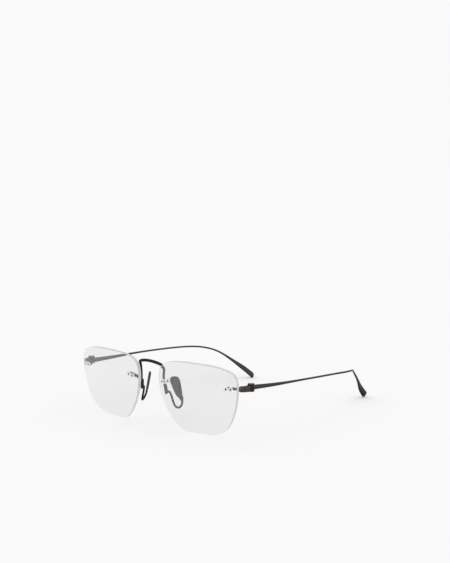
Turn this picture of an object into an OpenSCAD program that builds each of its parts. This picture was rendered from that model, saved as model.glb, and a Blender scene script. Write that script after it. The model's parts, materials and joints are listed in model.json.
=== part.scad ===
// Rimless eyeglasses: two drilled lenses, a wire bridge with looped nose pads,
// end pieces with three-knuckle screw hinges, and thin folding temples.
// Frame: +X is the wearer's left, -Y is the way the wearer looks, +Z is up.
// The origin is on the table, under the middle of the glasses, which stand on
// the lower edges of the lenses and the tips of the temples.
// Every piece is drawn on the wearer's left and mirrored for the right.

/* [Lenses] */
// Width of each lens at its widest
lens_w = 55; // [53:0.5:57]
// Height of each lens at its highest
lens_h = 41.2; // [40:0.2:42]
// Thickness of each lens
lens_t = 2; // [1.8:0.1:2.4]
// Radius of the front face of each lens
lens_r = 180; // [150:10:220]
// Gap between the two lenses at the nose
lens_gap = 16.2; // [15:0.2:18]
// Angle by which each lens wraps back towards the ear
wrap_angle = 6.5; // [5:0.5:8]
// Angle by which the top of each lens leans forwards
tilt_angle = 6.3; // [5.5:0.1:7]

/* [Temples] */
// Length of each temple from hinge axis to tip, measured straight back
temple_len = 135; // [128:1:142]
// Diameter of the temple wire in its thin middle stretch
temple_wire_d = 1.15; // [1:0.05:1.3]

/* [Bridge and nose pads] */
// Diameter of the saddle wire across the nose
saddle_d = 1.8; // [1.6:0.05:1.9]
// Diameter of the wire arms that run down behind the lenses
arm_d = 1.35; // [1.2:0.05:1.4]
// Diameter of the looped wire that carries a nose pad
pad_wire_d = 1.2; // [1:0.05:1.3]
// Thickness of a nose pad
pad_t = 1.4; // [1.2:0.1:1.6]

/* [Hinges] */
// Diameter of the hinge knuckles
knuckle_d = 3.8; // [3.5:0.1:3.9]
// Diameter of the hinge screw's shank
screw_d = 1.2; // [1:0.1:1.4]
// Radial clearance between the screw and the knuckles that turn on it
running_gap = 0.03; // [0.02:0.01:0.05]

/* [Hidden] */
$fn = 64;

// Colours
bronze = [0.26, 0.24, 0.22];
dark_bronze = [0.18, 0.17, 0.16];
clear_lens = [0.80, 0.84, 0.86, 0.45];
clear_plastic = [0.90, 0.90, 0.88, 0.70];
steel = [0.62, 0.60, 0.57];
nylon = [0.10, 0.10, 0.10];

// The lens centre, measured from the middle of the glasses
lens_x = lens_gap / 2 + lens_w / 2;
lens_y = -72.2;
lens_z = 20.55;

// Outline of the left lens, seen from the wearer: control points of a closed
// curve, outwards and up from the lens centre, for a lens 55 by 41.2
outline_w = 55;
outline_h = 41.2;
outline = [[26.5, -3.5], [28.5, 15], [22.5, 18], [13, 20.5], [-2.5, 20.5], [-10, 20.5],
    [-30.5, 18.5], [-25.5, -7], [-12.5, -22], [-6.5, -20], [12, -21], [20, -16]];
outline_steps = 8;

// Lens mounts: two posts side by side, measured from the lens centre
outer_mount_u = lens_w / 2 - 5.4;
outer_mount_v = 8.2;
inner_mount_u = 6.3 - lens_w / 2;
inner_mount_v = 7.8;
inner_mount_turn = 14;
post_pitch = 3;
post_d = 1.1;
sleeve_d = 1.6;
collar_d = 2.8;
collar_t = 0.6;
web_h = 1.1;
fit_gap = 0.02;
plate_gap = 0.12;
plate_t = 0.9;
plate_h = 1.6;
tongue_h = 1.2;
tongue_t = 1.5;
inner_tongue_l = 5.4;
outer_tongue_l = 4.8;

// Hinge axis and knuckles, from the top of the table
hinge_x = lens_x + 29.2;
hinge_y = lens_y + 13;
hinge_z = 26.95;
low_knuckle_h = 1.3;
mid_knuckle_h = 1.5;
top_knuckle_h = 1.2;
washer_t = 0.16;
washer_gap = 0.02;
knuckle_gap = washer_t + 2 * washer_gap;
mid_z = hinge_z + low_knuckle_h + knuckle_gap;
top_z = mid_z + mid_knuckle_h + knuckle_gap;
hinge_top = top_z + top_knuckle_h;
swing_gap = 0.2;
head_d = 2;
head_h = 0.6;
slot_w = 0.35;
slot_h = 0.3;

// End piece: a flat band that turns from the lens edge back to the hinge
band_h = 3.3;
band_t = 1.3;
band_z = hinge_z + 0.25;
band_mean_r = 5.1;
band_x = hinge_x - 4.8;
band_y = hinge_y - 2.05;
band_start = -76;
nose_cut = 38;
tip_h = 0.9;

// Temple: control points from the hinge axis and the table, each
// [x, y, z, half width, half height, twist]
temple_shape_len = 135;
temple_stretch = temple_len / temple_shape_len;
wire_r = temple_wire_d / 2;
temple_path = [[-0.9, 2.4, 28.8, 0.75, 1.35, 0],
    [1.4, 21.9, 27.9, 0.65, 0.9, 0],
    [2.9, 39.6, 27.7, wire_r, wire_r, 0],
    [3.4, 57, 27.1, wire_r, wire_r, 0],
    [3, 75.3, 26.4, wire_r, wire_r, 0],
    [2.4, 89, 25.5, wire_r, wire_r, 0],
    [-1.6, 98.6, 24.6, wire_r, wire_r, 0],
    [-7.2, 106.5, 22, wire_r, wire_r, 0],
    [-10, 113.5, 17.4, 0.6, 0.65, 0],
    [-12.6, 120.1, 12.3, 0.65, 1.05, 10],
    [-16, 126.6, 7, 0.85, 1.8, 25],
    [-17.1, 132.8, 2, 0.95, 2.05, 25]];

// Bridge: control points of one arm from its foot up, and of the saddle to its
// middle, each [x, y from the lens centre, z, half width, half height]
arm_r = arm_d / 2;
saddle_r = saddle_d / 2;
bridge_half = [[10.6, 2.2, 20, arm_r, arm_r],
    [10, 1.5, 25, arm_r, arm_r],
    [9.5, 1.1, 29.6, arm_r, arm_r],
    [9.8, 1.1, 32.6, arm_r, arm_r],
    [10.1, 1.1, 34.6, 0.72, 0.72],
    [9.7, 0.1, 36, 0.8, 0.8],
    [8.3, -1.4, 37.3, saddle_r, saddle_r],
    [4.4, -2.4, 38.3, saddle_r, saddle_r],
    [1.4, -2.4, 38.5, saddle_r, saddle_r]];

// Pad wire: control points from the block on the arm, round the loop and up
// into the pad, each [x, y from the lens centre, z, half width, half height]
wire_pad_r = pad_wire_d / 2;
pad_wire_path = [for (p = [[10.5, 3.1, 21.1], [10.8, 4.1, 21.1], [11.2, 4.7, 20.4], [11.9, 5.1, 18.4],
    [12.6, 5.3, 16.2], [13.4, 5.5, 13.9], [14.5, 6.1, 11.8], [15.7, 7.8, 11.4],
    [15.8, 9.6, 12.8], [15.3, 10.6, 15.1], [14.9, 10.7, 17.7]])
    [p.x, p.y, p.z, wire_pad_r, wire_pad_r]];

// Nose pad: where its lower edge meets the wire, its splay and lean, and its
// outline across and up from there
pad_x = 14.4;
pad_y = 9.9;
pad_z = 16.4;
pad_splay = 42;
pad_lean = -9;
pad_outline = [[1.5, -1], [0.8, 5], [-0.1, 10.2], [-1.2, 12.6], [-3.5, 13], [-6.4, 12.4],
    [-5.8, 9], [-4.2, 5.4], [-2.9, 1.8], [-0.6, 0.2], [0.3, -2.2]];

// Block that joins the pad wire to the bridge arm
block_size = [1.1, 1, 5.6];
block_pos = [10.2, 2.6, 22.9];
block_lean = [9, -9, 0];

function unit(v) = v / norm(v);
function xyz(p) = [p.x, p.y, p.z];

// One point of a uniform cubic B-spline span
function spline_point(a, b, c, d, t) =
    (a * pow(1 - t, 3) + b * (3 * pow(t, 3) - 6 * t * t + 4)
    + c * (-3 * pow(t, 3) + 3 * t * t + 3 * t + 1) + d * pow(t, 3)) / 6;

// Points of a closed curve with these control points
function closed_curve(ctrl, steps) = let (n = len(ctrl))
    [for (i = [0 : n - 1]) for (k = [0 : steps - 1])
        spline_point(ctrl[i], ctrl[(i + 1) % n], ctrl[(i + 2) % n], ctrl[(i + 3) % n], k / steps)];

// Points of an open curve that starts and ends on the first and last points
function open_curve(ctrl, steps) =
    let (n = len(ctrl),
        all = concat([2 * ctrl[0] - ctrl[1]], ctrl, [2 * ctrl[n - 1] - ctrl[n - 2]]))
    concat([for (i = [0 : n - 2]) for (k = [0 : steps - 1])
        spline_point(all[i], all[i + 1], all[i + 2], all[i + 3], k / steps)], [ctrl[n - 1]]);

// Direction of a path at its point i
function heading(path, i) =
    unit(xyz(path[min(i + 1, len(path) - 1)]) - xyz(path[max(i - 1, 0)]));

// A path with a rounded end: further points whose sections close to a dome
function domed(path) =
    let (n = len(path), last = path[n - 1], way = heading(path, n - 1), reach = last[4])
    concat(path, [for (a = [25, 50, 70, 82]) concat(xyz(last) + way * reach * sin(a),
        [last[3] * cos(a), last[4] * cos(a), last[5]])]);

// One oval section of a tube at point i of its path, turned by its twist
function section(path, i, across, sides) =
    let (p = path[i], way = heading(path, i), side = unit(cross(way, across)),
        rise = cross(side, way), turn = len(p) > 5 ? p[5] : 0,
        wide = side * cos(turn) - rise * sin(turn), high = rise * cos(turn) + side * sin(turn))
    [for (k = [0 : sides - 1])
        xyz(p) + wide * p[3] * cos(360 * k / sides) + high * p[4] * sin(360 * k / sides)];

// A tube along a path; across is a direction that the path never takes
module sweep(path, across, sides = 12) {
    n = len(path);
    rings = [for (i = [0 : n - 1]) each section(path, i, across, sides)];
    near_cap = [for (k = [sides - 1 : -1 : 0]) k];
    far_cap = [for (k = [0 : sides - 1]) (n - 1) * sides + k];
    walls = [for (i = [0 : n - 2]) for (k = [0 : sides - 1])
        [i * sides + k, i * sides + (k + 1) % sides,
            (i + 1) * sides + (k + 1) % sides, (i + 1) * sides + k]];
    polyhedron(points = rings, faces = concat([near_cap], walls, [far_cap]));
}

// Places children about the lens centre: x outwards, y back, z up the lens
module at_lens() {
    translate([lens_x, lens_y, lens_z]) rotate([tilt_angle, 0, wrap_angle]) children();
}

// Places children on the lens's front face at (u, v), with y into the lens
module at_mount(u, v) {
    at_lens()
        translate([0, lens_r - lens_t / 2, 0])
        rotate([-asin(v / lens_r), 0, asin(u / lens_r)])
        translate([0, -lens_r, 0])
        children();
}

module at_outer_mount() {
    at_mount(outer_mount_u, outer_mount_v) children();
}

module at_inner_mount() {
    at_mount(inner_mount_u, inner_mount_v) rotate([0, -inner_mount_turn, 0]) children();
}

module at_hinge(z = 0) {
    translate([hinge_x, hinge_y, z]) children();
}

// A round bar along y, from y0 to y1
module bar_y(d, y0, y1) {
    translate([0, y0, 0]) rotate([-90, 0, 0]) cylinder(h = y1 - y0, d = d);
}

// The same thing at both posts of a mount
module at_posts() {
    for (x = [-post_pitch / 2, post_pitch / 2]) translate([x, 0, 0]) children();
}

// Lens: a curved shell cut to the outline, with four holes for the sleeves
module lens() {
    shape = [for (p = closed_curve(outline, outline_steps))
        [p.x * lens_w / outline_w, p.y * lens_h / outline_h]];
    deep = 30;
    color(clear_lens)
    difference() {
        at_lens()
            translate([0, -lens_t / 2, 0])
            intersection() {
                rotate([90, 0, 0]) linear_extrude(height = deep, center = true) polygon(shape);
                translate([0, lens_r, 0])
                    difference() {
                        sphere(r = lens_r, $fn = 220);
                        sphere(r = lens_r - lens_t, $fn = 220);
                    }
            }
        at_outer_mount() at_posts() bar_y(sleeve_d + 2 * fit_gap, -2, lens_t + 2);
        at_inner_mount() at_posts() bar_y(sleeve_d + 2 * fit_gap, -2, lens_t + 2);
    }
}

// Double bushing: two collars joined by a web, with two sleeves through the lens
module bushing() {
    color(clear_plastic)
    difference() {
        union() {
            at_posts() bar_y(collar_d, -collar_t, 0);
            at_posts() bar_y(sleeve_d, -collar_t / 2, lens_t);
            translate([-post_pitch / 2, -collar_t, -web_h / 2])
                cube([post_pitch, collar_t, web_h]);
        }
        at_posts() bar_y(post_d + 2 * fit_gap, -collar_t - 1, lens_t + 1);
    }
}

// Two posts that run through the bushing into the plate behind the lens
module posts() {
    color(dark_bronze) at_posts() bar_y(post_d, -collar_t / 2, lens_t + plate_gap + plate_t);
}

// Plate behind the lens, drilled for the posts, with a tongue to one side
module mount_plate(side, tongue_l) {
    back = lens_t + plate_gap;
    color(bronze)
    difference() {
        union() {
            at_posts() bar_y(plate_h, back, back + plate_t);
            translate([-post_pitch / 2, back, -plate_h / 2])
                cube([post_pitch, plate_t, plate_h]);
            translate([side > 0 ? 0 : -tongue_l, back, -tongue_h / 2])
                cube([tongue_l, tongue_t, tongue_h]);
        }
        at_posts() bar_y(post_d + fit_gap, back - 1, back + plate_t + 1);
    }
}

// Block brazed to the foot of the bridge arm, which holds the pad wire
module pad_block() {
    color(bronze)
    translate([block_pos.x, lens_y + block_pos.y, block_pos.z])
        rotate(block_lean)
        cube(block_size, center = true);
}

module pad_arm() {
    color(bronze)
    translate([0, lens_y, 0])
        sweep(open_curve(pad_wire_path, 4), [0.87, -0.5, 0], 10);
}

// Nose pad: a flat paddle that grows out of the end of the pad wire
module nose_pad() {
    color(dark_bronze)
    translate([pad_x, lens_y + pad_y, pad_z])
        rotate([pad_lean, 0, pad_splay])
        rotate([90, 0, 0])
        linear_extrude(height = pad_t, center = true)
        polygon(closed_curve(pad_outline, 6));
}

// End piece: the band, pointed where it meets the lens and hollowed for the hinge
module end_piece() {
    inner_r = band_mean_r - band_t / 2;
    outer_r = band_mean_r + band_t / 2;
    reach = outer_r + 1;
    straight = hinge_y - band_y;
    mid_h = band_h / 2;
    color(bronze)
    difference() {
        union() {
            intersection() {
                translate([band_x, band_y, band_z])
                    difference() {
                        cylinder(h = band_h, r = outer_r);
                        translate([0, 0, -1]) cylinder(h = band_h + 2, r = inner_r);
                    }
                translate([band_x, band_y, band_z - 1])
                    linear_extrude(height = band_h + 2)
                    polygon([[0, 0], [reach * cos(band_start), reach * sin(band_start)],
                        [reach, -reach], [reach, 0]]);
            }
            translate([band_x + inner_r, band_y - 0.01, band_z])
                cube([band_t, straight, band_h]);
        }
        // slopes above and below the pointed front end
        for (side = [-1, 1])
            translate([band_x, band_y, band_z + mid_h])
                rotate([0, 0, band_start + 90])
                translate([0, -band_mean_r, side * tip_h / 2])
                rotate([0, -side * nose_cut, 0])
                translate([-10, -3, side > 0 ? 0 : -6])
                cube([16, 6, 6]);
        // the knuckles, and room for the middle one to turn
        at_hinge(band_z - 1) cylinder(h = band_h + 2, d = knuckle_d + fit_gap);
        at_hinge(mid_z - knuckle_gap)
            cylinder(h = mid_knuckle_h + 2 * knuckle_gap, d = knuckle_d + 2 * swing_gap);
    }
}

// Front half of the hinge: a leaf inside the band, with the outer two knuckles
module front_hinge() {
    leaf_t = 0.95;
    leaf_l = 3.4;
    leaf_x = band_x + band_mean_r - band_t / 2 - leaf_t - 0.02;
    color(dark_bronze)
    difference() {
        union() {
            at_hinge(hinge_z) cylinder(h = low_knuckle_h, d = knuckle_d);
            at_hinge(top_z) cylinder(h = top_knuckle_h, d = knuckle_d);
            translate([leaf_x, hinge_y - leaf_l, hinge_z])
                cube([leaf_t, leaf_l, band_z + band_h - hinge_z]);
        }
        at_hinge(hinge_z + low_knuckle_h)
            cylinder(h = top_z - hinge_z - low_knuckle_h, d = knuckle_d + 2 * swing_gap);
        at_hinge(hinge_z - 1) cylinder(h = low_knuckle_h + 2, d = screw_d + fit_gap);
        at_hinge(top_z - 1) cylinder(h = top_knuckle_h + 2, d = screw_d + 2 * running_gap);
        at_hinge(hinge_top - head_h) cylinder(h = head_h + 1, d = head_d + 2 * fit_gap);
    }
}

// Temple half of the hinge: the middle knuckle and the leaf brazed to the temple
module temple_hinge() {
    leaf_t = 1.2;
    leaf_l = 3.4;
    color(dark_bronze)
    difference() {
        union() {
            at_hinge(mid_z) cylinder(h = mid_knuckle_h, d = knuckle_d);
            translate([hinge_x - 0.8 - leaf_t / 2, hinge_y, mid_z])
                cube([leaf_t, leaf_l, mid_knuckle_h]);
        }
        at_hinge(mid_z - 1) cylinder(h = mid_knuckle_h + 2, d = screw_d + 2 * running_gap);
    }
}

// Two thin washers, one on each side of the middle knuckle
module hinge_washers() {
    color(nylon)
    for (z = [mid_z - washer_gap - washer_t, mid_z + mid_knuckle_h + washer_gap])
        at_hinge(z)
            difference() {
                cylinder(h = washer_t, d = knuckle_d - 0.2);
                translate([0, 0, -1]) cylinder(h = washer_t + 2, d = screw_d + 2 * running_gap);
            }
}

// Hinge screw: slotted head let into the top knuckle, threaded end in the lowest
module hinge_screw() {
    color(steel)
    difference() {
        union() {
            at_hinge(hinge_z + 0.1) cylinder(h = hinge_top - head_h - hinge_z - 0.1, d = screw_d);
            at_hinge(hinge_top - head_h) cylinder(h = head_h, d = head_d);
        }
        at_hinge(hinge_top - slot_h) rotate([0, 0, 35])
            translate([-head_d, -slot_w / 2, 0]) cube([2 * head_d, slot_w, slot_h + 1]);
    }
}

module temple() {
    path = [for (p = temple_path) [p.x, p.y * temple_stretch, p.z, p[3], p[4], p[5]]];
    color(bronze)
    translate([hinge_x, hinge_y, 0])
        sweep(domed(open_curve(path, 7)), [0, 0, 1]);
}

// Bridge: both arms and the saddle in one bent wire
module bridge() {
    other_half = [for (i = [len(bridge_half) - 1 : -1 : 0])
        concat(-bridge_half[i].x, [for (k = [1 : 4]) bridge_half[i][k]])];
    color(dark_bronze)
    translate([0, lens_y, 0])
        sweep(open_curve(concat(bridge_half, other_half), 4), [0, 1, 0]);
}

module right_side() {
    mirror([1, 0, 0]) children();
}

module lens_left() { lens(); }
module lens_right() { right_side() lens(); }
module inner_mount_left() { at_inner_mount() mount_plate(-1, inner_tongue_l); }
module inner_mount_right() { right_side() inner_mount_left(); }
module outer_mount_left() { at_outer_mount() mount_plate(1, outer_tongue_l); }
module outer_mount_right() { right_side() outer_mount_left(); }
module inner_posts_left() { at_inner_mount() posts(); }
module inner_posts_right() { right_side() inner_posts_left(); }
module outer_posts_left() { at_outer_mount() posts(); }
module outer_posts_right() { right_side() outer_posts_left(); }
module inner_bushing_left() { at_inner_mount() bushing(); }
module inner_bushing_right() { right_side() inner_bushing_left(); }
module outer_bushing_left() { at_outer_mount() bushing(); }
module outer_bushing_right() { right_side() outer_bushing_left(); }
module pad_block_left() { pad_block(); }
module pad_block_right() { right_side() pad_block(); }
module pad_arm_left() { pad_arm(); }
module pad_arm_right() { right_side() pad_arm(); }
module nose_pad_left() { nose_pad(); }
module nose_pad_right() { right_side() nose_pad(); }
module end_piece_left() { end_piece(); }
module end_piece_right() { right_side() end_piece(); }
module front_hinge_left() { front_hinge(); }
module front_hinge_right() { right_side() front_hinge(); }
module temple_hinge_left() { temple_hinge(); }
module temple_hinge_right() { right_side() temple_hinge(); }
module hinge_washers_left() { hinge_washers(); }
module hinge_washers_right() { right_side() hinge_washers(); }
module hinge_screw_left() { hinge_screw(); }
module hinge_screw_right() { right_side() hinge_screw(); }
module temple_left() { temple(); }
module temple_right() { right_side() temple(); }

lens_left();
lens_right();
bridge();
inner_mount_left();
inner_mount_right();
outer_mount_left();
outer_mount_right();
inner_posts_left();
inner_posts_right();
outer_posts_left();
outer_posts_right();
inner_bushing_left();
inner_bushing_right();
outer_bushing_left();
outer_bushing_right();
pad_block_left();
pad_block_right();
pad_arm_left();
pad_arm_right();
nose_pad_left();
nose_pad_right();
end_piece_left();
end_piece_right();
front_hinge_left();
front_hinge_right();
temple_hinge_left();
temple_hinge_right();
hinge_washers_left();
hinge_washers_right();
hinge_screw_left();
hinge_screw_right();
temple_left();
temple_right();
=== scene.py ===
"""Rimless eyeglasses: smooth glass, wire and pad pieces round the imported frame, with their materials."""

import json
import math

import bmesh
import bpy
import numpy as np
from mathutils import Euler, Matrix, Vector


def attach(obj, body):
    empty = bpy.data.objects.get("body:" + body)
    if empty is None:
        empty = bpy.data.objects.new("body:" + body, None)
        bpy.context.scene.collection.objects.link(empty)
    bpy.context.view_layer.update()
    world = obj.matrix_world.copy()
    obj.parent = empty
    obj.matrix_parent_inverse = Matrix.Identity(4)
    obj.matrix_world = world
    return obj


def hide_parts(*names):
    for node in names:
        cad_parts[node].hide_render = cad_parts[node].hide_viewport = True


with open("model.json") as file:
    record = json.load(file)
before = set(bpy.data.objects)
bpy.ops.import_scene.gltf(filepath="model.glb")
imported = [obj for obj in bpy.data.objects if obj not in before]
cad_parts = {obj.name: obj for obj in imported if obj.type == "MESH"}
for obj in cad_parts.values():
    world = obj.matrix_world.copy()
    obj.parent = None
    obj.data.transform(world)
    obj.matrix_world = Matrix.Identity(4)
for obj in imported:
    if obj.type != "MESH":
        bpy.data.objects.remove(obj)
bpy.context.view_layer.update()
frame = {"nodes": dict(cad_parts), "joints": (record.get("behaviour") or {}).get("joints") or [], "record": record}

MM = 0.001
SIDES = {"left": 1, "right": -1}

# Shapes are in millimetres, for the left side. The left hinge's axis places them, as it does in the CAD.
hinge = next(Vector(j["pos_m"]) for j in frame["joints"] if j["child"] == "temple_left")
hinge_x = hinge.x / MM
hinge_y = hinge.y / MM
LENS_IN = 29.2
LENS_AHEAD = 13.0
LENS_HEIGHT = 20.55
lens_centre = Vector((hinge_x - LENS_IN, hinge_y - LENS_AHEAD, LENS_HEIGHT))


# ---------------------------------------------------------------- curves and meshes


def spline_span(a, b, c, d, t):
    """One point of a uniform cubic B-spline span."""
    return (
        a * (1 - t) ** 3
        + b * (3 * t**3 - 6 * t**2 + 4)
        + c * (-3 * t**3 + 3 * t**2 + 3 * t + 1)
        + d * t**3
    ) / 6


def closed_curve(points, steps):
    """Points of a closed curve with these control points."""
    p = np.array(points, float)
    n = len(p)
    return np.array(
        [
            spline_span(p[i], p[(i + 1) % n], p[(i + 2) % n], p[(i + 3) % n], k / steps)
            for i in range(n)
            for k in range(steps)
        ]
    )


def open_curve(points, steps):
    """Points of an open curve that starts and ends on the first and last control points."""
    p = np.array(points, float)
    p = np.vstack([2 * p[0] - p[1], p, 2 * p[-1] - p[-2]])
    inner = [
        spline_span(p[i], p[i + 1], p[i + 2], p[i + 3], k / steps)
        for i in range(len(p) - 3)
        for k in range(steps)
    ]
    return np.vstack([inner, p[-2]])


def unit(v):
    return v / np.linalg.norm(v)


DOME_RINGS = 6
DOME_ANGLE = 88


def dome(end, before, reach):
    """Sections that close a path's end to a dome. They stop short of a point, so the last one has a width."""
    way = unit(end[:3] - before[:3])
    added = []
    for i in range(1, DOME_RINGS + 1):
        angle = math.radians(DOME_ANGLE * i / DOME_RINGS)
        section = end.copy()
        section[:3] += way * reach * math.sin(angle)
        section[3:5] *= math.cos(angle)
        added.append(section)
    return added


def domed(path, at_start, at_end):
    """A path with both ends domed, by no more than the end section's half width or half height."""
    start = dome(path[0], path[1], min(at_start, path[0][3]))
    end = dome(path[-1], path[-2], min(at_end, path[-1][4]))
    return np.vstack([*start[::-1], path, *end])


def new_piece(name, verts, faces, side=1):
    """A mesh object from points in millimetres, mirrored for the right side."""
    mesh = bpy.data.meshes.new(name)
    mesh.from_pydata([Vector(v) * MM for v in verts], [], faces)
    if side < 0:
        mesh.transform(Matrix.Scale(-1, 4, (1, 0, 0)))
        mesh.flip_normals()
    mesh.update()
    piece = bpy.data.objects.new(name, mesh)
    bpy.context.scene.collection.objects.link(piece)
    return piece


def smooth(piece, angle=180):
    """Smooth shading, with edges sharper than angle kept."""
    mesh = piece.data
    mesh.polygons.foreach_set("use_smooth", [True] * len(mesh.polygons))
    if angle < 180:
        mesh.set_sharp_from_angle(angle=math.radians(angle))
    mesh.update()


def sweep(name, path, across, sides=24, side=1, squareness=None):
    """A tube along path, whose rows are x, y, z, half width, half height and twist.
    squareness is the superellipse power of each section. The UV map holds millimetres along and around it."""
    n = len(path)
    across = np.array(across, float)
    power = np.full(n, 2.0) if squareness is None else np.array(squareness, float)
    along = np.concatenate([[0], np.cumsum(np.linalg.norm(np.diff(path[:, :3], axis=0), axis=1))])
    verts = []
    for i in range(n):
        way = unit(path[min(i + 1, n - 1), :3] - path[max(i - 1, 0), :3])
        flat = unit(np.cross(way, across))
        rise = np.cross(flat, way)
        turn = math.radians(path[i, 5])
        wide = flat * math.cos(turn) - rise * math.sin(turn)
        high = rise * math.cos(turn) + flat * math.sin(turn)
        for k in range(sides):
            angle = 2 * math.pi * (k + 0.5) / sides
            c, s = math.cos(angle), math.sin(angle)
            u = math.copysign(abs(c) ** (2 / power[i]), c) * path[i, 3]
            v = math.copysign(abs(s) ** (2 / power[i]), s) * path[i, 4]
            verts.append(path[i, :3] + wide * u + high * v)
    faces = [
        (i * sides + k, i * sides + (k + 1) % sides, (i + 1) * sides + (k + 1) % sides, (i + 1) * sides + k)
        for i in range(n - 1)
        for k in range(sides)
    ]
    walls = len(faces)
    faces.append(tuple(range(sides - 1, -1, -1)))
    faces.append(tuple((n - 1) * sides + k for k in range(sides)))
    piece = new_piece(name, verts, faces, side)
    uv = piece.data.uv_layers.new(name="length_round")
    round_mm = 2 * math.pi * float(path[:, 3:5].mean()) / sides
    for face in piece.data.polygons:
        for corner, loop in zip(face.vertices, face.loop_indices, strict=True):
            i, k = divmod(corner, sides)
            wraps = face.index < walls and k == 0 and max(v % sides for v in face.vertices) == sides - 1
            uv.data[loop].uv = (along[i], (k + (sides if wraps else 0)) * round_mm)
    smooth(piece)
    return piece


# ---------------------------------------------------------------- lenses

LENS_T = 2.0
LENS_R = 180.0
WRAP = 6.5
TILT = 6.3
EDGE_BEVEL = 0.14
OUTLINE = [
    (26.5, -3.5), (28.5, 15), (22.5, 18), (13, 20.5), (-2.5, 20.5), (-10, 20.5),
    (-30.5, 18.5), (-25.5, -7), (-12.5, -22), (-6.5, -20), (12, -21), (20, -16),
]
OUTER_MOUNT = (22.1, 8.2, 0)
INNER_MOUNT = (-21.2, 7.8, 14)
POST_PITCH = 3.0
HOLE_R = 0.82

lens_matrix = Matrix.Translation(lens_centre) @ Euler(
    (math.radians(TILT), 0, math.radians(WRAP))
).to_matrix().to_4x4()
lens_turn = lens_matrix.to_3x3()


def mount_matrix(u, v, turn):
    """The frame of a mount on the left lens, with y into the lens."""
    lean = Euler((-math.asin(v / LENS_R), 0, math.asin(u / LENS_R))).to_matrix().to_4x4()
    turned = Euler((0, -math.radians(turn), 0)).to_matrix().to_4x4()
    out = Matrix.Translation((0, LENS_R - LENS_T / 2, 0))
    return lens_matrix @ out @ lean @ Matrix.Translation((0, -LENS_R, 0)) @ turned


def lens_point(x, z, radius):
    """A point of the lens's front (radius LENS_R) or back surface, in the frame of the glasses."""
    y = -LENS_T / 2 + LENS_R - math.sqrt(radius**2 - x * x - z * z)
    return lens_matrix @ Vector((x, y, z))


def cut_holes(piece, side):
    """Drills the four sleeve holes."""
    for u, v, turn in (OUTER_MOUNT, INNER_MOUNT):
        for x in (-POST_PITCH / 2, POST_PITCH / 2):
            mesh = bpy.data.meshes.new("drill")
            bm = bmesh.new()
            bmesh.ops.create_cone(
                bm, cap_ends=True, segments=40, radius1=HOLE_R, radius2=HOLE_R, depth=8
            )
            bm.transform(Euler((math.pi / 2, 0, 0)).to_matrix().to_4x4())
            bm.transform(mount_matrix(u, v, turn) @ Matrix.Translation((x, LENS_T / 2, 0)))
            bm.transform(Matrix.Scale(MM, 4))
            if side < 0:
                bm.transform(Matrix.Scale(-1, 4, (1, 0, 0)))
                bmesh.ops.reverse_faces(bm, faces=bm.faces)
            bm.to_mesh(mesh)
            bm.free()
            drill = bpy.data.objects.new("drill", mesh)
            bpy.context.scene.collection.objects.link(drill)
            cut = piece.modifiers.new("hole", "BOOLEAN")
            cut.operation = "DIFFERENCE"
            cut.solver = "EXACT"
            cut.object = drill
            apply_modifiers(piece)
            bpy.data.objects.remove(drill)
            bpy.data.meshes.remove(mesh)


def apply_modifiers(piece):
    """Bakes the piece's modifiers into its mesh."""
    bpy.context.view_layer.update()
    graph = bpy.context.evaluated_depsgraph_get()
    made = bpy.data.meshes.new_from_object(piece.evaluated_get(graph))
    piece.modifiers.clear()
    old = piece.data
    piece.data = made
    bpy.data.meshes.remove(old)


def lens(name, side):
    """A curved glass shell with a ground edge, bevelled at the front and at the back."""
    outline = closed_curve(OUTLINE, steps=18)
    n = len(outline)
    rings = 26
    shrink = 1 - EDGE_BEVEL / np.linalg.norm(outline, axis=1)
    verts = [lens_point(0, 0, LENS_R)]
    rows = []
    layers = (
        (LENS_R, False, 0),
        (LENS_R, True, EDGE_BEVEL),
        (LENS_R - LENS_T, True, -EDGE_BEVEL),
        (LENS_R - LENS_T, False, 0),
    )
    for radius, on_rim, lift in layers:
        scales = [1.0] if on_rim else [(i + 1) / rings for i in range(rings)]
        if radius < LENS_R:
            scales = scales[::-1]
        for scale in scales:
            row = []
            for (x, z), edge in zip(outline, shrink, strict=True):
                reach = scale if on_rim else scale * edge
                point = lens_point(x * reach, z * reach, radius)
                if lift:
                    point += lens_turn @ Vector((0, lift, 0))
                row.append(len(verts))
                verts.append(point)
            rows.append(row)
    back = len(verts)
    verts.append(lens_point(0, 0, LENS_R - LENS_T))
    faces = [(0, rows[0][(k + 1) % n], rows[0][k]) for k in range(n)]
    for near, far in zip(rows, rows[1:], strict=False):
        faces += [(near[k], near[(k + 1) % n], far[(k + 1) % n], far[k]) for k in range(n)]
    faces += [(back, rows[-1][k], rows[-1][(k + 1) % n]) for k in range(n)]
    piece = new_piece(name, verts, faces, side)
    cut_holes(piece, side)
    smooth(piece, angle=28)
    return piece


def second_material(piece, material, turn, side, limit):
    """Gives a turned plate's rim, whose faces don't look along the plate's y, the second material."""
    axis = turn @ Vector((0, 1, 0))
    axis.x *= side
    piece.data.materials.append(material)
    for face in piece.data.polygons:
        face.material_index = int(abs(face.normal.dot(axis)) < limit)


# ---------------------------------------------------------------- wires

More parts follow.
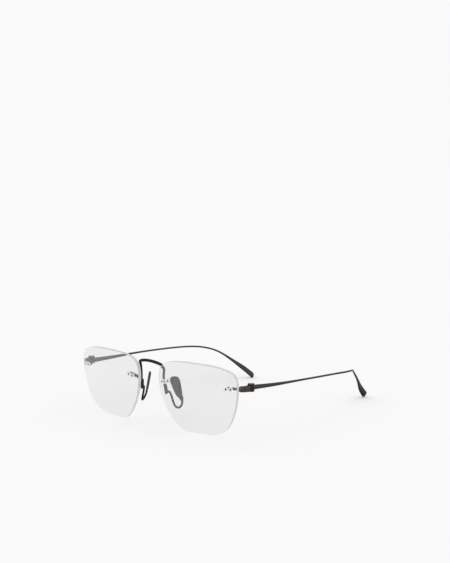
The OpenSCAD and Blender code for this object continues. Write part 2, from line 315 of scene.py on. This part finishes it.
WIRE = 0.575
TEMPLE = [
    (-0.9, 2.4, 28.8, 0.75, 1.35, 0), (1.4, 21.9, 27.9, 0.65, 0.9, 0), (2.9, 39.6, 27.7, WIRE, WIRE, 0),
    (3.4, 57, 27.1, WIRE, WIRE, 0), (3, 75.3, 26.4, WIRE, WIRE, 0), (2.4, 89, 25.5, WIRE, WIRE, 0),
    (-1.6, 98.6, 24.6, WIRE, WIRE, 0), (-7.2, 106.5, 22, WIRE, WIRE, 0), (-10, 113.5, 17.4, 0.6, 0.65, 0),
    (-12.6, 120.1, 12.3, 0.65, 1.05, 10), (-16, 126.6, 7, 0.85, 1.8, 25), (-17.1, 132.8, 2, 0.95, 2.05, 25),
]
ARM = 0.675
SADDLE = 0.9
BRIDGE_HALF = [
    (10.6, 2.2, 20, ARM, ARM, 0), (10, 1.5, 25, ARM, ARM, 0), (9.5, 1.1, 29.6, ARM, ARM, 0),
    (9.8, 1.1, 32.6, ARM, ARM, 0), (10.1, 1.1, 34.6, 0.72, 0.72, 0), (9.7, 0.1, 36, 0.8, 0.8, 0),
    (8.3, -1.4, 37.3, SADDLE, SADDLE, 0), (4.4, -2.4, 38.3, SADDLE, SADDLE, 0),
    (1.4, -2.4, 38.5, SADDLE, SADDLE, 0),
]
PAD_WIRE = [
    (10.5, 3.1, 21.1), (10.8, 4.1, 21.1), (11.2, 4.7, 20.4), (11.9, 5.1, 18.4), (12.6, 5.3, 16.2),
    (13.4, 5.5, 13.9), (14.5, 6.1, 11.8), (15.7, 7.8, 11.4), (15.8, 9.6, 12.8), (15.3, 10.6, 15.1),
    (14.9, 10.7, 17.7),
]
PAD_WIRE_R = 0.6
PAD_POS = (14.4, 9.9, 16.4)
PAD_SPLAY = 42
PAD_LEAN = -9
PAD_T = 1.4
PAD_OUTLINE = [
    (1.5, -1), (0.8, 5), (-0.1, 10.2), (-1.2, 12.6), (-3.5, 13), (-6.4, 12.4),
    (-5.8, 9), (-4.2, 5.4), (-2.9, 1.8), (-0.6, 0.2), (0.3, -2.2),
]
PAD_CROWN = 0.08
pad_turn = Euler((math.radians(PAD_LEAN), 0, math.radians(PAD_SPLAY))).to_matrix()

# Where the temple's squarer sections, the bar and the paddle, fade into round wire, behind the hinge
BAR_END = 34
BAR_FADE = 26
PADDLE_START = 112
PADDLE_FADE = 14
ROUND = 2
BAR_SQUARE = 2.2
PADDLE_SQUARE = 0.5


def temple(name, side):
    """Flat bar at the hinge, round wire along the head, flat paddle at the tip."""
    path = open_curve(TEMPLE, steps=20)
    path[:, 0] += hinge_x
    path[:, 1] += hinge_y
    path = domed(path, at_start=0.35, at_end=2.05)
    back = path[:, 1] - hinge_y
    bar = np.clip((BAR_END - back) / BAR_FADE, 0, 1)
    paddle = np.clip((back - PADDLE_START) / PADDLE_FADE, 0, 1)
    return sweep(name, path, (0, 0, 1), 28, side, ROUND + BAR_SQUARE * bar + PADDLE_SQUARE * paddle)


def bridge(name):
    """Both arms and the saddle, in one bent wire."""
    other = [(-x, *rest) for x, *rest in BRIDGE_HALF[::-1]]
    path = open_curve(BRIDGE_HALF + other, steps=12)
    path[:, 1] += lens_centre.y
    return sweep(name, domed(path, at_start=0.3, at_end=0.3), (0, 1, 0), 24)


def pad_wire(name, side):
    """A wire bent in a U, from the block on the bridge's arm up to the back of the pad."""
    path = open_curve([(*p, PAD_WIRE_R, PAD_WIRE_R, 0) for p in PAD_WIRE], steps=12)
    path[:, 1] += lens_centre.y
    return sweep(name, domed(path, at_start=0.1, at_end=0.3), (0.87, -0.5, 0), 20, side)


def nose_pad(name, side):
    """A flat paddle with a full round rim and slightly domed faces."""
    outline = closed_curve(PAD_OUTLINE, steps=10)
    middle = outline.mean(0)
    n = len(outline)
    rim = 7
    rim_depth = 0.42
    rings = 8
    tangent = np.roll(outline, -1, 0) - np.roll(outline, 1, 0)
    inward = np.stack([-tangent[:, 1], tangent[:, 0]], 1)
    inward /= np.linalg.norm(inward, axis=1)[:, None]
    rows, heights = [], []
    for i in range(rim + 1):
        angle = math.radians(90 * i / rim)
        rows.append(outline + inward * rim_depth * (1 - math.cos(angle)))
        heights.append((PAD_T / 2 - PAD_CROWN) * math.sin(angle))
    flat = rows[-1]
    for i in range(1, rings):
        share = i / rings
        rows.append(flat + (middle - flat) * share)
        heights.append(PAD_T / 2 - PAD_CROWN * (1 - share) ** 2)
    place = (
        Matrix.Translation((PAD_POS[0], lens_centre.y + PAD_POS[1], PAD_POS[2]))
        @ pad_turn.to_4x4()
        @ Euler((math.pi / 2, 0, 0)).to_matrix().to_4x4()
    )
    verts, layers = [], []
    for face in (-1, 1):
        order = range(len(rows) - 1, 0, -1) if face < 0 else range(len(rows))
        for i in order:
            layers.append(list(range(len(verts), len(verts) + n)))
            verts += [place @ Vector((x, y, face * heights[i])) for x, y in rows[i]]
    faces = []
    for near, far in zip(layers, layers[1:], strict=False):
        faces += [(near[k], near[(k + 1) % n], far[(k + 1) % n], far[k]) for k in range(n)]
    for layer, height, turn in ((layers[0], -PAD_T / 2, 1), (layers[-1], PAD_T / 2, -1)):
        tip = len(verts)
        verts.append(place @ Vector((*middle, height)))
        faces += [(tip, layer[(k + 1) % n], layer[k])[::turn] for k in range(n)]
    piece = new_piece(name, verts, faces, side)
    smooth(piece)
    return piece


# ---------------------------------------------------------------- materials


class Tree:
    """A material's nodes, added and joined in short lines."""

    def __init__(self, name):
        self.material = bpy.data.materials.new(name)
        self.material.use_nodes = True
        self.nodes = self.material.node_tree.nodes
        self.links = self.material.node_tree.links
        self.shader = self.nodes["Principled BSDF"]
        self.out = self.nodes["Material Output"]

    def add(self, kind, **values):
        """A node, with its properties and inputs set by name."""
        node = self.nodes.new(kind)
        for name, value in values.items():
            if hasattr(node, name):
                setattr(node, name, value)
            else:
                self.put(value, node.inputs[name.replace("_", " ")])
        return node

    def put(self, value, socket):
        """Links or sets a socket."""
        if isinstance(value, bpy.types.NodeSocket):
            self.links.new(value, socket)
        else:
            socket.default_value = value

    def shade(self, **values):
        """Links or sets inputs of the Principled shader by name."""
        for name, value in values.items():
            self.put(value, self.shader.inputs[name.replace("_", " ")])

    def noise(self, vector, detail=3.0, rough=0.5):
        """Noise at the scale of the vector."""
        node = self.add("ShaderNodeTexNoise", Scale=1.0, Detail=detail, Roughness=rough)
        self.put(vector, node.inputs["Vector"])
        return node.outputs["Fac"]

    def ramp(self, factor, *stops):
        """A colour ramp from (place, value or colour) stops."""
        node = self.nodes.new("ShaderNodeValToRGB")
        points = node.color_ramp.elements
        while len(points) < len(stops):
            points.new(0.5)
        for point, (place, value) in zip(points, stops, strict=True):
            point.position = place
            point.color = (*value, 1) if hasattr(value, "__len__") else (value, value, value, 1)
        self.put(factor, node.inputs["Fac"])
        return node.outputs["Color"]

    def mapped(self, vector, scale):
        """A vector scaled along its three axes."""
        return self.add("ShaderNodeMapping", Vector=vector, Scale=scale).outputs["Vector"]

    def math(self, operation, *values):
        """A sum or product of two or three values."""
        node = self.nodes.new("ShaderNodeMath")
        node.operation = operation
        for value, socket in zip(values, node.inputs, strict=False):
            self.put(value, socket)
        return node.outputs[0]

    def mix(self, factor, a, b):
        """A blend of two colours."""
        node = self.nodes.new("ShaderNodeMix")
        node.data_type = "RGBA"
        self.put(factor, node.inputs["Factor"])
        self.put(a if isinstance(a, bpy.types.NodeSocket) else (*a, 1), node.inputs["A"])
        self.put(b if isinstance(b, bpy.types.NodeSocket) else (*b, 1), node.inputs["B"])
        return node.outputs["Result"]

    def tint(self, a, b):
        """One colour multiplied by another."""
        node = self.nodes.new("ShaderNodeMix")
        node.data_type = "RGBA"
        node.blend_type = "MULTIPLY"
        node.inputs["Factor"].default_value = 1.0
        self.put(a, node.inputs["A"])
        self.put(b, node.inputs["B"])
        return node.outputs["Result"]

    def bump(self, height, distance, strength):
        """Bumps of this height on the Principled shader, in metres."""
        node = self.add("ShaderNodeBump", Strength=strength, Distance=distance)
        self.put(height, node.inputs["Height"])
        self.put(node.outputs["Normal"], self.shader.inputs["Normal"])

    def blend(self, factor, second):
        """The Principled shader and a second one, mixed on the surface."""
        both = self.add("ShaderNodeMixShader", Fac=factor)
        self.links.new(self.shader.outputs[0], both.inputs[1])
        self.links.new(second.outputs[0], both.inputs[2])
        self.links.new(both.outputs[0], self.out.inputs["Surface"])


BRONZE = (0.064, 0.057, 0.052)
DARK_BRONZE = (0.032, 0.028, 0.026)
PAD_BRONZE = (0.038, 0.034, 0.031)
WORN_HIGHLIT_BRONZE = (0.14, 0.118, 0.1)
STEEL = (0.5, 0.48, 0.45)
WORN_HIGHLIT_STEEL = (0.7, 0.68, 0.65)
PAD_PLASTIC = (0.028, 0.027, 0.026)
PAD_RIM_PLASTIC = (0.012, 0.011, 0.011)
CLEAR_PLASTIC = (0.98, 0.98, 0.97)
BLACK_NYLON = (0.02, 0.02, 0.02)


def metal(name, colour, swept=False, worn_and_highlit=WORN_HIGHLIT_BRONZE, roughness=0.3):
    """Satin plating: fine drawn grain, cloudy polish, paler metal at the edges as rub wear and as a painted
    highlight, and painted shade that darkens the underside.
    """
    tree = Tree(name)
    if swept:
        place = tree.add("ShaderNodeUVMap", uv_map="length_round").outputs["UV"]
        grain = tree.mapped(place, (0.9, 14.0, 1.0))
        cloud = tree.mapped(place, (0.12, 0.5, 1.0))
    else:
        place = tree.add("ShaderNodeTexCoord").outputs["Object"]
        grain = tree.mapped(place, (2500.0, 2500.0, 14000.0))
        cloud = tree.mapped(place, (420.0, 420.0, 420.0))
    lines = tree.noise(grain, detail=4.0, rough=0.6)
    clouds = tree.noise(cloud)
    skin = tree.add("ShaderNodeNewGeometry")
    # Pointy edges turn to paler metal: partly rub wear, partly a painted highlight along the edges
    wear_and_highlight = tree.math("MULTIPLY", skin.outputs["Pointiness"], tree.math("ADD", clouds, 0.5))
    rubbed_and_highlit = tree.ramp(wear_and_highlight, (0.56, 0.0), (0.72, 1.0))
    # Painted shade: faces that point downwards get a darker base colour
    up = tree.add("ShaderNodeSeparateXYZ", Vector=skin.outputs["Normal"]).outputs["Z"]
    painted_under_shade = tree.ramp(tree.math("MULTIPLY_ADD", up, 0.5, 0.5), (0.18, 0.55), (0.55, 1.0))
    shade = tree.mix(clouds, [c * 0.86 for c in colour], [c * 1.14 for c in colour])
    shade = tree.tint(shade, painted_under_shade)
    tree.shade(
        Base_Color=tree.mix(rubbed_and_highlit, shade, worn_and_highlit),
        Metallic=1.0,
        Roughness=tree.math("ADD", tree.math("MULTIPLY", lines, 0.16), roughness - 0.08),
        Specular_Tint=(0.62, 0.6, 0.58, 1),
    )
    tree.bump(lines, distance=0.000006, strength=0.5)
    return tree.material


def glass(name):
    """Clear lens with a faint neutral tint and a fine haze of wiped dust; it lets lamps through."""
    tree = Tree(name)
    place = tree.add("ShaderNodeTexCoord").outputs["Object"]
    haze = tree.noise(tree.mapped(place, (90.0, 90.0, 60.0)), detail=5.0, rough=0.65)
    tree.shade(
        Base_Color=tree.mix(haze, (0.865, 0.86, 0.855), (0.885, 0.882, 0.878)),
        Roughness=tree.ramp(haze, (0.35, 0.0), (0.9, 0.035)),
        IOR=1.67,
        Transmission_Weight=1.0,
    )
    clear = tree.add("ShaderNodeBsdfTransparent", Color=(0.97, 0.97, 0.968, 1))
    tree.blend(tree.add("ShaderNodeLightPath").outputs["Is Shadow Ray"], clear)
    return tree.material


def ground_edge(name):
    """The lens's ground rim and drilled holes: white, and lit through from inside the glass."""
    tree = Tree(name)
    place = tree.add("ShaderNodeTexCoord").outputs["Object"]
    grain = tree.noise(tree.mapped(place, (5000.0, 5000.0, 900.0)), detail=4.0, rough=0.6)
    tree.shade(
        Base_Color=tree.mix(grain, (0.93, 0.93, 0.94), (0.98, 0.98, 0.985)),
        Roughness=tree.ramp(grain, (0.2, 0.22), (0.8, 0.45)),
        IOR=1.5,
    )
    tree.bump(grain, distance=0.000008, strength=0.5)
    tree.blend(0.6, tree.add("ShaderNodeBsdfTranslucent", Color=(0.98, 0.98, 0.985, 1)))
    return tree.material


def plastic(name, colour, roughness, clear=0.0):
    """Moulded plastic with a faint flow pattern. It is see-through by the share clear."""
    tree = Tree(name)
    place = tree.add("ShaderNodeTexCoord").outputs["Object"]
    flow = tree.noise(tree.mapped(place, (1500.0, 1500.0, 1500.0)))
    tree.shade(
        Base_Color=tree.mix(flow, [c * 0.95 for c in colour], colour),
        Roughness=tree.ramp(flow, (0.2, roughness * 0.7), (0.8, roughness * 1.4)),
        IOR=1.5,
        Transmission_Weight=clear,
    )
    tree.bump(flow, distance=0.00001, strength=0.3)
    return tree.material


MATERIALS = {
    "lens": glass("lens_glass"),
    "lens_edge": ground_edge("lens_ground_edge"),
    "pad": plastic("pad_plastic", PAD_PLASTIC, roughness=0.32),
    "pad_rim": plastic("pad_rim_plastic", PAD_RIM_PLASTIC, roughness=0.35),
    "bronze": metal("bronze_plate", BRONZE),
    "dark_bronze": metal("dark_bronze_plate", DARK_BRONZE),
    "bronze_wire": metal("bronze_wire", BRONZE, swept=True),
    "dark_bronze_wire": metal("dark_bronze_wire", DARK_BRONZE, swept=True),
    "pad_wire": metal("pad_wire_bronze", PAD_BRONZE, swept=True),
    "clear_bushing": plastic("bushing_plastic", CLEAR_PLASTIC, roughness=0.12, clear=0.3),
    "screw_steel": metal("screw_steel", STEEL, worn_and_highlit=WORN_HIGHLIT_STEEL, roughness=0.26),
    "nylon": plastic("washer_nylon", BLACK_NYLON, roughness=0.4),
}


def finish_piece(piece, slot, material, body, *nodes):
    """Material, body and the CAD nodes that the piece stands for. The slot argument is not used."""
    piece.data.materials.clear()
    piece.data.materials.append(MATERIALS[material])
    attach(piece, body)
    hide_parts(*nodes)


# ---------------------------------------------------------------- pieces

LENS_RIM_LIMIT = 0.85
PAD_RIM_LIMIT = 0.97

finish_piece(bridge("bridge_wire"), "dark_bronze", "dark_bronze_wire", "front", "bridge")
for word, sign in SIDES.items():
    glass_piece = lens(f"lens_glass_{word}", sign)
    finish_piece(glass_piece, "lens", "lens", "front", f"lens_{word}")
    second_material(glass_piece, MATERIALS["lens_edge"], lens_turn, sign, LENS_RIM_LIMIT)
    # The clear lens leaves the floor's light as it is
    glass_piece.visible_diffuse = False
    finish_piece(
        temple(f"temple_bar_{word}", sign), "bronze", "bronze_wire", f"temple_{word}", f"temple_{word}"
    )
    finish_piece(pad_wire(f"pad_wire_{word}", sign), "bronze", "pad_wire", "front", f"pad_arm_{word}")
    pad = nose_pad(f"nose_pad_plate_{word}", sign)
    finish_piece(pad, "dark_bronze", "pad", "front", f"nose_pad_{word}")
    second_material(pad, MATERIALS["pad_rim"], pad_turn, sign, PAD_RIM_LIMIT)

# The other pieces are the CAD's own, with their edges rounded by these widths
BEVELS = {
    "end_piece": 0.3, "front_hinge": 0.1, "temple_hinge": 0.1, "inner_mount": 0.1, "outer_mount": 0.1,
    "inner_posts": 0.14, "outer_posts": 0.14, "inner_bushing": 0.12, "outer_bushing": 0.12,
    "pad_block": 0.14, "hinge_washers": 0.03, "hinge_screw": 0.06,
}
slots = {s["node"]: s["material_slot"] for s in frame["record"]["subparts"]}
for node, part in frame["nodes"].items():
    kind = node.rsplit("_", 1)[0]
    if kind not in BEVELS:
        continue
    part.data.materials.clear()
    part.data.materials.append(MATERIALS[slots[node]])
    weld = part.modifiers.new("weld", "WELD")
    weld.merge_threshold = 0.000002
    bevel = part.modifiers.new("edges", "BEVEL")
    bevel.width = BEVELS[kind] * MM
    bevel.segments = 3
    bevel.limit_method = "ANGLE"
    bevel.angle_limit = math.radians(32)
    bevel.use_clamp_overlap = True
    bevel.harden_normals = True

# ---------------------------------------------------------------- floor, light and camera

scene = bpy.context.scene
scene.view_settings.view_transform = "Standard"
scene.view_settings.look = "None"

PALE = 0.956
world = bpy.data.worlds.new("studio")
world.use_nodes = True
world.node_tree.nodes["Background"].inputs["Color"].default_value = (PALE, PALE, PALE, 1)
world.node_tree.nodes["Background"].inputs["Strength"].default_value = 1.0
scene.world = world

floor_mesh = bpy.data.meshes.new("floor")
FLOOR = 60.0
floor_mesh.from_pydata(
    [(-FLOOR, -FLOOR, 0), (FLOOR, -FLOOR, 0), (FLOOR, FLOOR, 0), (-FLOOR, FLOOR, 0)], [], [(0, 1, 2, 3)]
)
floor = bpy.data.objects.new("floor", floor_mesh)
scene.collection.objects.link(floor)
floor_tree = Tree("floor_paper")
ALBEDO = 0.93
floor_tree.shade(Base_Color=(ALBEDO, ALBEDO, ALBEDO, 1), Roughness=0.9, Specular_IOR_Level=0.0)
floor_mesh.materials.append(floor_tree.material)

# The lamp makes up what the floor's paper doesn't return, so that floor and backdrop are equally pale
lamp_data = bpy.data.lights.new("key", "SUN")
lamp_data.angle = math.radians(40)
lamp_tilt = math.radians(37)
lamp_data.energy = math.pi * (PALE / ALBEDO - PALE) / math.cos(lamp_tilt)
lamp = bpy.data.objects.new("key", lamp_data)
lamp.rotation_euler = (-lamp_tilt, 0, 0)
scene.collection.objects.link(lamp)

camera_data = bpy.data.cameras.new("camera")
camera_data.sensor_width = 36
camera_data.lens = 79.35
camera_data.clip_start = 0.01
camera_data.clip_end = 200
camera = bpy.data.objects.new("camera", camera_data)
camera.location = (0.5040, -0.5750, 0.1702)
aim = Vector((0.0291, -0.0408, 0.0839))
camera.rotation_euler = (aim - camera.location).to_track_quat("-Z", "Y").to_euler()
scene.collection.objects.link(camera)
scene.camera = camera
